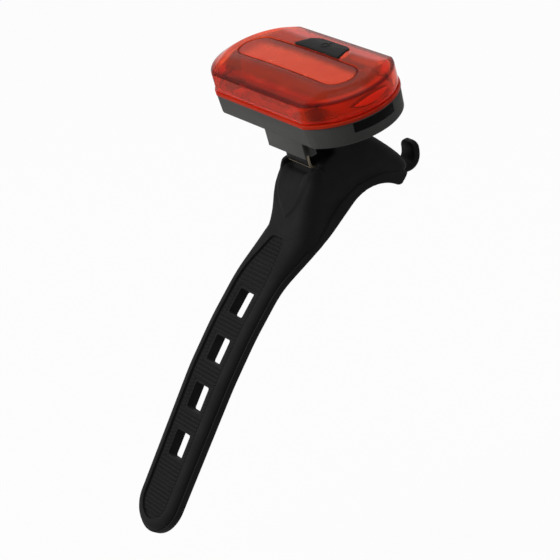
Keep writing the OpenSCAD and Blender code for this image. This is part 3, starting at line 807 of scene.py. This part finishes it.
def addButton(look, sign):
    def onTop(x, y, drop=0.0):
        return x, y, lensHeight(lensShape, x, y) + look["proud"] - drop

    plan, edge = buttonPlan, look["edge"]
    outline = buttonOutline(plan, 0)
    middle = (plan["centre"], plan["near"] + plan["deep"] * 0.5)
    rings = [raised(outline, look["foot"])]
    for a in quarterTurn:
        flat = buttonOutline(plan, -edge * (1 - math.cos(a)))
        rings.append([onTop(x, y, edge * (1 - math.sin(a))) for x, y in flat])
    for share in (0.8, 0.6, 0.4, 0.2, 0.05):
        rings.append([onTop(middle[0] + (x - middle[0]) * share, middle[1] + (y - middle[1]) * share)
                      for x, y in flat])
    piece = ringPiece("modeButton", rings)
    # ring with a gap towards the far side, and the bar in the gap
    half, line, rise = math.radians(sign["gap"] / 2), sign["line"], sign["rise"]
    (cx, cy), (ringSteps, barSteps) = sign["place"], sign["steps"]
    turns = np.linspace(math.pi / 2 + half, 2.5 * math.pi - half, ringSteps)
    paths = [[(cx + sign["ring"] * math.cos(a), cy + sign["ring"] * math.sin(a), math.cos(a), math.sin(a))
              for a in turns],
             [(cx, cy + sign["ring"] + sign["bar"] * (t - 0.5), 1.0, 0.0)
              for t in np.linspace(0, 1, barSteps)]]
    marks = []
    for path in paths:
        rings = []
        for x, y, ox, oy in path:
            rings.append([onTop(x + o * line * ox, y + o * line * oy, -h * rise)
                          for o, h in sign["section"]])
        marks.append(ringPiece("signMark", rings))
    joinPieces(piece, *marks)
    smoothShade(piece, angle=38)
    finishPiece(piece, finish["buttonRubber"], "button", ("mode_button",))


addButton(buttonShape, buttonSign)
print("button made")


# strap: one section carried along a smooth path

strapLook = {
    "start": (-23.717, 3.170),            # mm, Y and Z of the first hinge line on the inner face
    "angles": (20.5, 38.0, 42.5, 46.5),   # degrees below the horizon
    "bends": (13.5, 29.0, 43.6),          # mm along the inner face
    "ease": (6.0, 5.0, 5.0),
    "length": 91.8, "width": 20.4, "tipWidth": 19.2, "taperFrom": 43.6,
    "thick": 4.0, "neckThick": 7.0, "neckEase": 0.3, "neckFuller": 3,
    "band": 2.2, "neckBand": 2.3, "bandFade": 8, "slope": 0.68,
    "lowRound": 0.45,                     # edge of the inner face
    "ledge": ((0, -0.22), (0.05, -0.07), (0.16, 0), (0.46, 0), (0.56, -0.04), (0.62, 0.08)),   # inset, height
    "channel": (1.6, 88.2), "channelDepth": 0.8, "cornerNeck": 1.2, "rim": 0.4, "wall": 0.3,
    "narrowest": 0.02,
    "channelRim": ((0.14, 0.015), (0.04, 0.06), (0, 0.16)),     # outside the wall, below the top
    "channelFoot": ((0.25, 0.2), (0.55, 0.05), (1, 0)),         # share of the wall, above the floor
    "ribPitch": 1.168, "ribFrom": 17.3, "ribRise": 0.42, "ribPower": 0.8,
    "ribEnds": (0.8, 0.9), "ribFade": 0.5,
    "ribRows": ((0.96, 0.1), (0.91, 1), (0.69, 1), (0.62, 1), (0.58, 1), (0.3, 1)),   # share of floor, rise
    "row": 0.2, "closest": 0.02, "tipRows": 70, "channelRows": (-0.01, 0.01, 0.04, 0.1),
    "holes": (21.7, 36.3, 50.9, 65.5), "hole": (8.2, 7.0, 0.6), "holeTaper": 0.88, "holeMargin": 0.45,
    "holeCut": (12.0, 2.0, 5),            # cutter's height, its middle over the inner face, corner steps
}
fineStep, runOn = 0.05, (16, 4)                       # mm, steps of the path and its run past both ends
pathS = np.arange(-runOn[0], strapLook["length"] + runOn[1], fineStep)
shoulderTurn = np.radians(np.linspace(8, 90, 12))     # steps of the sloping shoulder
tipR = strapLook["tipWidth"] / 2
tipFrom = strapLook["length"] - tipR


def pathAngle(s):
    look = strapLook
    angle = np.full(np.shape(s), look["angles"][0], float)
    for i, (bend, ease) in enumerate(zip(look["bends"], look["ease"])):
        change = look["angles"][i + 1] - look["angles"][i]
        angle = angle + change * smoothStep((s - bend + ease) / (2 * ease))
    return np.radians(angle)


pathTurn = pathAngle(pathS[:-1] + fineStep / 2)
pathY = np.concatenate([[0], np.cumsum(-np.cos(pathTurn) * fineStep)])
pathZ = np.concatenate([[0], np.cumsum(-np.sin(pathTurn) * fineStep)])
pathY += strapLook["start"][0] - np.interp(0, pathS, pathY)
pathZ += strapLook["start"][1] - np.interp(0, pathS, pathZ)


def onStrap(x, s, h):
    # point on the strap in metres: x across, s along the inner face, h above it
    angle = pathAngle(s)
    y = np.interp(s, pathS, pathY) - h * np.sin(angle)
    z = np.interp(s, pathS, pathZ) + h * np.cos(angle)
    return np.stack([x + 0 * y, y, z], -1) * mm


def innerFace(s, h=0.0):
    return tuple(onStrap(np.array(0.0), np.array(s), np.array(h)))


def strapThick(s):
    look = strapLook
    u, ease = s / look["bends"][0], look["neckEase"]
    ramp = 1 - u
    low = np.clip((u - 1 + ease) / (2 * ease), 0, 1)
    ramp = np.where(u > 1 - ease, ease * (1 - low) ** 2, ramp)
    ramp = np.where(u > 1 + ease, 0, ramp)
    return look["thick"] + (look["neckThick"] - look["thick"]) * ramp


def strapBand(s):
    look = strapLook
    return look["neckBand"] + (look["band"] - look["neckBand"]) * smoothStep(s / look["bandFade"])


def slopeTop(s):
    # inset of the upper edge of the sloping shoulder
    inset, rise = strapLook["ledge"][-1]
    return inset + float(strapThick(s) - strapBand(s) - rise) / strapLook["slope"]


def outerEdge(s):
    # half width and outward direction of the plan's edge at s
    wide, taper = strapLook["width"] / 2, strapLook["taperFrom"]
    if s <= taper:
        return wide, 0.0
    if s <= tipFrom:
        return wide + (tipR - wide) * ((s - taper) / (tipFrom - taper)), 0.0
    u = min(1, (s - tipFrom) / tipR)
    return tipR * math.sqrt(max(0, 1 - u * u)), math.asin(u)


def channelHalf(s):
    look = strapLook
    first, last = look["channel"]
    if s < first or s > last:
        return 0.0
    half = outerEdge(min(s, tipFrom))[0] - slopeTop(s) - look["rim"]
    corner = look["cornerNeck"]
    if s < first + corner:
        u = 1 - (s - first) / corner
        return half - corner * (1 - math.sqrt(max(0, 1 - u * u)))
    if s > last - half:
        u = (s - last + half) / half
        return half * math.sqrt(max(0, 1 - u * u))
    return half


def ribHeight(x, s):
    look = strapLook
    first, last = look["channel"]
    wave = 0.5 + 0.5 * math.cos(2 * math.pi * (s - look["ribFrom"]) / look["ribPitch"])
    (near, far), fade = look["ribEnds"], look["ribFade"]
    inside = float(smoothStep((s - first - near) / fade) * smoothStep((last - far - s) / fade))
    length, width = look["hole"][:2]
    for hole in look["holes"]:   # plain margin round each hole
        if abs(s - hole) < length / 2 + look["holeMargin"] and abs(x) < width / 2 + look["holeMargin"]:
            return 0.0
    return look["ribRise"] * wave ** look["ribPower"] * inside


def strapRing(s, ribbed=True):
    # closed ring of points (x, s, h) round the strap at edge station s
    look = strapLook
    half, lean = outerEdge(s)
    ca, sa = math.cos(lean), math.sin(lean)
    thick, band = float(strapThick(s)), float(strapBand(s))
    r = look["lowRound"]
    side = [(r * (1 - math.sin(a)), r * (1 - math.cos(a))) for a in np.radians((0, 30, 60, 90))]
    side += [(o, band + rise) for o, rise in look["ledge"]]
    start, low = side[-1]
    top = slopeTop(s)
    full = 2 / (2 + (thick - look["thick"]) / look["neckFuller"])   # fuller shoulder on the thick neck
    for a in shoulderTurn:
        over, up = 1 - max(math.cos(a), 0) ** full, math.sin(a) ** full
        side.append((start + (top - start) * over, low + (thick - low) * up))
    right = [(half - o * ca, s - o * sa, h) for o, h in side]
    rimX, rimS = max(right[-1][0], 0), right[-1][1]
    cut = channelHalf(rimS) if ribbed else 0.0
    rows = []
    if cut > look["narrowest"]:
        floor = thick - look["channelDepth"]
        wall = min(look["wall"], cut)
        rows.append((rimX + (cut + look["channelRim"][0][0] - rimX) * 0.5, thick))
        rows += [(cut + out, thick - drop) for out, drop in look["channelRim"]]
        rows += [(cut - share * wall, floor + rise) for share, rise in look["channelFoot"]]
        for share, rise in look["ribRows"]:
            x = (cut - wall) * share
            rows.append((x, floor + rise * ribHeight(x, rimS)))
        middle = floor + ribHeight(0, rimS)
    else:   # as many rows as the channel has
        count = 1 + sum(len(look[k]) for k in ("channelRim", "channelFoot", "ribRows"))
        for u in np.linspace(0, 1, count + 2)[1:-1]:
            rows.append((rimX * (1 - u), thick))
        middle = thick
    right += [(x, rimS, h) for x, h in rows]
    left = [(-x, t, h) for x, t, h in reversed(right)]
    bottomS = right[0][1]
    under = [(right[0][0] * u, bottomS, 0) for u in (-0.5, 0, 0.5)]
    return right + [(0, rimS, middle)] + left + under


def stations(start, end):
    look = strapLook
    keep = [start]
    grid = np.arange(math.ceil(start / look["row"]) * look["row"], min(end, tipFrom) + 1e-6, look["row"])
    keep += [float(g) for g in grid if g > start + look["closest"]]
    if end > tipFrom:
        keep += [tipFrom + tipR * math.sin(a) for a in np.linspace(0, math.pi / 2, look["tipRows"])[1:]]
    elif keep[-1] < end - look["closest"]:
        keep.append(end)
    first = look["channel"][0]
    if start < first < end:
        keep += [first + row for row in look["channelRows"]]
    return sorted(set(round(k, 4) for k in keep))


def strapMesh(name, start, end, ribbed=True):
    rings = [strapRing(s, ribbed) for s in stations(start, end)]
    count = len(rings[0])
    flat = np.array([p for ring in rings for p in ring])
    points = onStrap(flat[:, 0], flat[:, 1], flat[:, 2])
    faces = []
    for i in range(len(rings) - 1):
        for k in range(count):
            a, b = i * count + k, i * count + (k + 1) % count
            faces.append((a, b, b + count, a + count))
    faces.append(tuple(reversed(range(count))))
    if end < strapLook["length"]:
        faces.append(tuple(range((len(rings) - 1) * count, len(rings) * count)))
    piece = newPiece(name, points, faces)
    cleanMesh(piece, merge=0.004, normals=True)
    return piece


def cutHole(piece, look, s):
    length, width, corner = look["hole"]
    tall, middle, steps = look["holeCut"]
    reach = np.array((width, length, tall)) / 2
    cutter = boxCutter(-reach, reach)
    bevelEdges(cutter, lambda a, b: abs(a.z - b.z) > tall / 2, corner, steps)
    for v in cutter.data.vertices:   # moulded draft: narrower at the inner face
        if v.co.z < 0:
            v.co.x *= look["holeTaper"]
            v.co.y *= look["holeTaper"]
    angle = float(pathAngle(np.array(s)))
    cutter.matrix_world = Matrix.Translation(Vector(innerFace(s, middle))) @ Matrix.Rotation(angle, 4, "X")
    cutWith(piece, cutter)


strapPieces = {   # piece: from, to, bodies, blend zone, node it stands for
    "strapRoot": (0.6, 17.3, ("neck", "link_1"), (10.0, 17.0), "strap_neck"),
    "strapMiddle": (17.3, 32.1, ("link_1", "link_2"), (26.0, 32.0), "strap_link_1"),
    "strapLower": (32.1, 46.7, ("link_2", "tail"), (40.6, 46.6), "strap_link_2"),
    "strapTip": (46.7, 91.8, ("tail",), None, "strap_tail"),
}
for pieceName, (start, end, bodies, zone, nodeName) in strapPieces.items():
    piece = strapMesh(pieceName, start, end)
    for s in strapLook["holes"]:
        if start < s < end:
            cutHole(piece, strapLook, s)
    smoothShade(piece, angle=35)
    finishPiece(piece, finish["siliconeBlack"], None, (nodeName,))
    if zone:
        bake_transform(piece)
    else:
        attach(piece, bodies[0])
print("strap made")


# saddle: side profiles drawn out across, rounded, then melted together with the strap's root

saddleLook = {   # outlines are Y and Z in mm
    "front": [(-28.2, 8.2), (-26.9, 9.15), (-26.2, 9.8), (-25.0, 11.2), (-23.6, 13.3), (-22.3, 15.7),
              (-21.1, 18.1), (-19.7, 20.5), (-18.0, 22.8), (-16.7, 24.2), (-15.7, 25.0)],
    "roof": [(-12.9, 25.0), (-12.9, 26.9), (-10.0, 27.8), (-7.2, 28.5), (-6.8, 29.5), (-6.4, 35.6),
             (4.2, 35.6)],
    "back": [(5.0, 32.0), (5.6, 29.4), (6.9, 26.7), (9.2, 23.8), (11.5, 20.7), (13.2, 18.2), (14.4, 16.0),
             (15.0, 14.2), (15.0, 13.2), (14.3, 12.5)],
    "crease": [(13.55, 12.4), (9.3, 14.35), (5.0, 16.1), (1.6, 16.6), (-1.9, 16.8), (-4.3, 16.6),
               (-6.9, 15.8), (-9.5, 14.9), (-12.2, 13.6), (-15.1, 11.6), (-18.2, 9.0), (-20.8, 6.9),
               (-24.4, 5.0), (-27.7, 3.7)],
    "under": [(-28.6, 1.35), (-26.9, 1.98), (-23.7, 3.17), (-18.4, 5.4), (-16.5, 6.3), (-14.1, 7.6),
              (-11.3, 9.22)],
    "lip": [(9.7, 9.75), (10.3, 9.5), (11.0, 9.7), (12.6, 10.9), (13.5, 11.9)],
    "rootBlock": [(10.9, 8.9), (13.2, 8.9), (13.9, 9.6), (14.4, 12.4), (11.0, 13.0), (10.0, 11.0)],
    "post": {"radius": 13.6, "from": -7.0, "to": 9.3, "steps": 40},
    "halfWidth": ((4, 9.85), (17, 9.85), (20, 9.7), (24, 9.0), (28, 8.0), (32, 7.2), (36, 6.6)),   # by height
    "frontInset": ((8, 5.4), (14, 4.6), (20, 3.4), (25, 2.2)),   # rounding of the front flanks by height
    "frontReach": 1.2, "frontPower": 2.4,
    "backRound": (2.6, 3.0), "roofRound": (0.8, 0.9),            # inwards, along the flank
    "blockHalf": 10, "bandHalf": 10.2, "bandLap": 0.4, "rootHalf": 5.0, "rootSpan": (-4.0, 1.2),
    "blockVoxel": 0.4, "voxel": 0.25, "soften": 8, "cutAt": 0.6, "zone": (-6.5, 0.4),
    "pocket": {"half": 5.8, "y": (-20, 4.5), "z": (25.1, 26.5)},
}
saddleRelief = {   # mm; facing, x, y and z say where a form starts and over which length it grows
    "crease": {"depth": 0.45, "width": 0.3, "facing": (0.2, 0.4), "x": (7.5, 1.5)},
    "shield": {"rise": (-0.332, 0.12), "top": 25.2, "tall": 12.0, "half": 6.8, "power": 2.4, "soft": 1.8,
               "y": (-13.4, -1.0), "z": (12.6, 0.8)},   # rises along Y and Z
    "ear": {"rise": 1.2, "x": (5.9, 0.7), "y": (-12.6, -0.6), "z": (23.4, 1.4)},
    "dip": {"rise": -0.9, "x": (5.6, -2.5), "y": (-13.2, -1.6), "z": (19.0, 6.0)},
    "below": 26,   # ears and dip stay under the roof
}


def profileBlock(name, outline, half):
    # a side profile in Y and Z drawn out to both sides
    count = len(outline)
    points = [(x * half * mm, y * mm, z * mm) for x in (-1, 1) for y, z in outline]
    faces = [tuple(range(count)), tuple(reversed(range(count, 2 * count)))]
    for k in range(count):
        n = (k + 1) % count
        faces.append((k, k + count, n + count, n))
    block = newPiece(name, points, faces)
    with editing(block):
        bpy.ops.mesh.quads_convert_to_tris()
        bpy.ops.mesh.normals_make_consistent(inside=False)
    return block


def meltMesh(piece, voxel):
    melt = piece.modifiers.new("melt", "REMESH")
    melt.mode = "VOXEL"
    melt.voxel_size = voxel * mm
    applySteps(piece)


def softenMesh(piece, rounds):
    ease = piece.modifiers.new("soften", "SMOOTH")
    ease.factor = 0.5
    ease.iterations = rounds
    applySteps(piece)


def readPoints(piece, what="co"):
    values = np.empty(len(piece.data.vertices) * 3)
    piece.data.vertices.foreach_get(what, values)
    return values.reshape(-1, 3) / (mm if what == "co" else 1)


def writePoints(piece, points):
    piece.data.vertices.foreach_set("co", (points * mm).ravel())
    piece.data.update()


def lineDistance(points, line):
    # distance in Y and Z from each point to an open line
    best = np.full(len(points), 1e9)
    for a, b in zip(line[:-1], line[1:]):
        a, b = np.array(a, float), np.array(b, float)
        d = b - a
        t = np.clip(((points - a) @ d) / (d @ d), 0, 1)
        best = np.minimum(best, np.linalg.norm(points - a - t[:, None] * d, axis=1))
    return best


def roundOff(distance, radius):
    u = np.clip(1 - distance / radius, 0, 1)
    return 1 - np.sqrt(1 - u * u)


def fadeIn(value, fade):
    return smoothStep((value - fade[0]) / fade[1])


def saddleBlock(look):
    # upper body, narrowed by height and rounded along its outline
    block = look["front"] + look["roof"] + look["back"] + look["crease"]
    body = profileBlock("saddleBody", block, look["blockHalf"])
    meltMesh(body, look["blockVoxel"])
    co = readPoints(body)
    flat = co[:, 1:]
    width = np.interp(co[:, 2], *zip(*look["halfWidth"]))
    inset = np.interp(co[:, 2], *zip(*look["frontInset"]))
    power = look["frontPower"]
    near = np.clip(1 - lineDistance(flat, look["front"]) / (look["frontReach"] * inset), 0, 1)
    width -= inset * (1 - (1 - near ** power) ** (1 / power))
    for edge in ("back", "roof"):
        inwards, along = look[edge + "Round"]
        width -= inwards * roundOff(lineDistance(flat, look[edge]), along)
    co[:, 0] *= width / look["blockHalf"]
    writePoints(body, co)
    return body


def saddleBand(look):
    # lower band from the strap over the post to the hook's end
    post, crease = look["post"], look["crease"]
    across = np.linspace(post["from"], post["to"], post["steps"])
    bore = [(y, math.sqrt(post["radius"] ** 2 - y * y)) for y in across]
    lifted = [(y, z + look["bandLap"]) for y, z in crease[1:-1]]
    outline = look["under"] + bore + look["lip"] + crease[:1] + lifted + crease[-1:]
    return profileBlock("saddleBand", outline, look["bandHalf"])


def carveSaddle(piece, relief, creaseLine):
    co, normal = readPoints(piece), readPoints(piece, "normal")
    x, y, z = np.abs(co[:, 0]), co[:, 1], co[:, 2]   # y and z follow the moves below
    crease, shield = relief["crease"], relief["shield"]
    # groove along the flanks
    groove = np.exp(-(lineDistance(co[:, 1:], creaseLine) / crease["width"]) ** 2)
    groove *= fadeIn(np.abs(normal[:, 0]), crease["facing"]) * fadeIn(x, crease["x"])
    co[:, 0] -= np.sign(co[:, 0]) * groove * crease["depth"]
    # raised shield on the front, pointed at its lower end
    down = np.clip((shield["top"] - z) / shield["tall"], 0, 1)
    half = shield["half"] * (1 - down ** shield["power"])
    front = fadeIn(y, shield["y"]) * fadeIn(z, shield["z"])
    lift = smoothStep((half - x) / shield["soft"] + 0.5) * front
    co[:, 1] += lift * shield["rise"][0]
    co[:, 2] += lift * shield["rise"][1]
    # ears at both ends of the rim, clear of the clip, and the dip between them
    for form in (relief["ear"], relief["dip"]):
        mask = fadeIn(x, form["x"]) * fadeIn(y, form["y"]) * fadeIn(z, form["z"])
        co[:, 2] += mask * form["rise"] * (z < relief["below"])
    writePoints(piece, co)


def addSaddle(look, relief):
    body, band = saddleBlock(look), saddleBand(look)
    hold = profileBlock("hookHold", look["rootBlock"], look["rootHalf"])
    first, past = look["rootSpan"]
    root = strapMesh("saddleRoot", first, look["cutAt"] + past, ribbed=False)
    piece = joinPieces(body, band, hold, root)
    piece.name = "strapSaddle"
    meltMesh(piece, look["voxel"])
    softenMesh(piece, look["soften"])
    carveSaddle(piece, relief, look["crease"])
    pocket = look["pocket"]   # for the clip's tongue
    cutWith(piece, boxCutter(*zip((-pocket["half"], pocket["half"]), pocket["y"], pocket["z"])))
    angle = math.radians(strapLook["angles"][0])
    with editing(piece):
        bpy.ops.mesh.bisect(plane_co=Vector(innerFace(look["cutAt"])), use_fill=True, clear_outer=True,
                            plane_no=(0, -math.cos(angle), -math.sin(angle)))
    smoothShade(piece, angle=40)
    finishPiece(piece, finish["siliconeBlack"], None, ("strap_saddle",))
    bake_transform(piece)
    print("saddle made:", len(piece.data.polygons), "faces")


addSaddle(saddleLook, saddleRelief)


# hook: a rounded bar carried along its own curve

hookLook = {
    "path": [(10.9, 10.4), (12.5, 10.4), (14.5, 10.2), (16.5, 9.65), (18.4, 9.05), (19.9, 9.0), (21.3, 9.6),
             (22.2, 10.9), (22.6, 12.5), (22.7, 13.9), (22.7, 15.6)],   # Y and Z of the middle, mm
    "thick": (2.6, 2.4), "half": 3.2, "edge": (0.55, 0.95),     # radius, and its limit in half thicknesses
    "tipRound": 2.2, "tipIn": 1.9, "tipThin": 0.45,
    "rows": (60, 16), "cornerPoints": 5, "fine": 400, "soften": 400, "step": 0.1,
}


def alongLine(line):
    return np.concatenate([[0], np.cumsum(np.linalg.norm(np.diff(line, axis=0), axis=1))])


def hookCurve(look):
    # softened middle line and the length along it
    line = np.array(look["path"], float)
    t = alongLine(line)
    smooth = np.stack([np.interp(np.linspace(0, t[-1], look["fine"]), t, line[:, i]) for i in (0, 1)], -1)
    for turn in range(look["soften"]):
        smooth[1:-1] += 0.5 * ((smooth[:-2] + smooth[2:]) / 2 - smooth[1:-1])
    u = alongLine(smooth)
    return u * (t[-1] / u[-1]), smooth


def addHook(look):
    u, middle = hookCurve(look)
    end, tip = u[-1], look["tipRound"]

    def onCurve(s):
        return np.array([np.interp(s, u, middle[:, i]) for i in (0, 1)])

    barRows, tipRows = look["rows"]
    tipTurn = np.linspace(0, math.pi / 2, tipRows)[1:]
    rings = []
    for s in np.concatenate([np.linspace(0, end - tip, barRows), end - tip + tip * np.sin(tipTurn)]):
        way = onCurve(min(s + look["step"], end)) - onCurve(max(s - look["step"], 0))
        out = np.array([-way[1], way[0]]) / np.linalg.norm(way)
        left = math.sqrt(max(0, 1 - max(0, (s - end + tip) / tip) ** 2))   # 1 on the bar, 0 at the very tip
        half = look["half"] - look["tipIn"] * (1 - left)
        deep = np.interp(s, [0, end], look["thick"]) / 2 * (1 - look["tipThin"] * (1 - left))
        r = min(look["edge"][0], deep * look["edge"][1])
        ring = []
        for side, (sx, sh) in enumerate(((1, 1), (-1, 1), (-1, -1), (1, -1))):
            for a in math.pi / 2 * (side + np.linspace(0, 1, look["cornerPoints"])):
                h = sh * (deep - r) + r * math.sin(a)
                ring.append((sx * (half - r) + r * math.cos(a), *(onCurve(s) + out * h)))
        rings.append(ring)
    piece = ringPiece("postHook", rings, origin=Vector(), merge=0.002)
    smoothShade(piece, angle=40)
    finishPiece(piece, finish["hookPlastic"], "mount", ("strap_hook",))


addHook(hookLook)
print("hook made")


# inner CAD nodes keep their shape and take a finish

innerFinish = {
    "housing_seal": "sealRubber", "led_board": "boardMask", "cob_board": "reflectorWhite",
    "cob_phosphor": "phosphorYellow", "reflector": "reflectorWhite", "side_leds": "ledResin",
    "driver_chip": "chipBlack", "inductor": "chipBlack", "capacitors": "ceramicTan",
    "board_screws": "screwSteel", "battery_cell": "cellFoil", "battery_pad": "padFoam",
    "battery_leads": "leadRed", "usb_shell": "socketSteel", "usb_tongue": "chipBlack",
    "tact_switch": "chipBlack", "switch_plunger": "plungerCream",
}
for nodeName, finishName in innerFinish.items():
    for place in nodes[nodeName].material_slots:
        place.material = finish[finishName]
print("inner pieces finished")
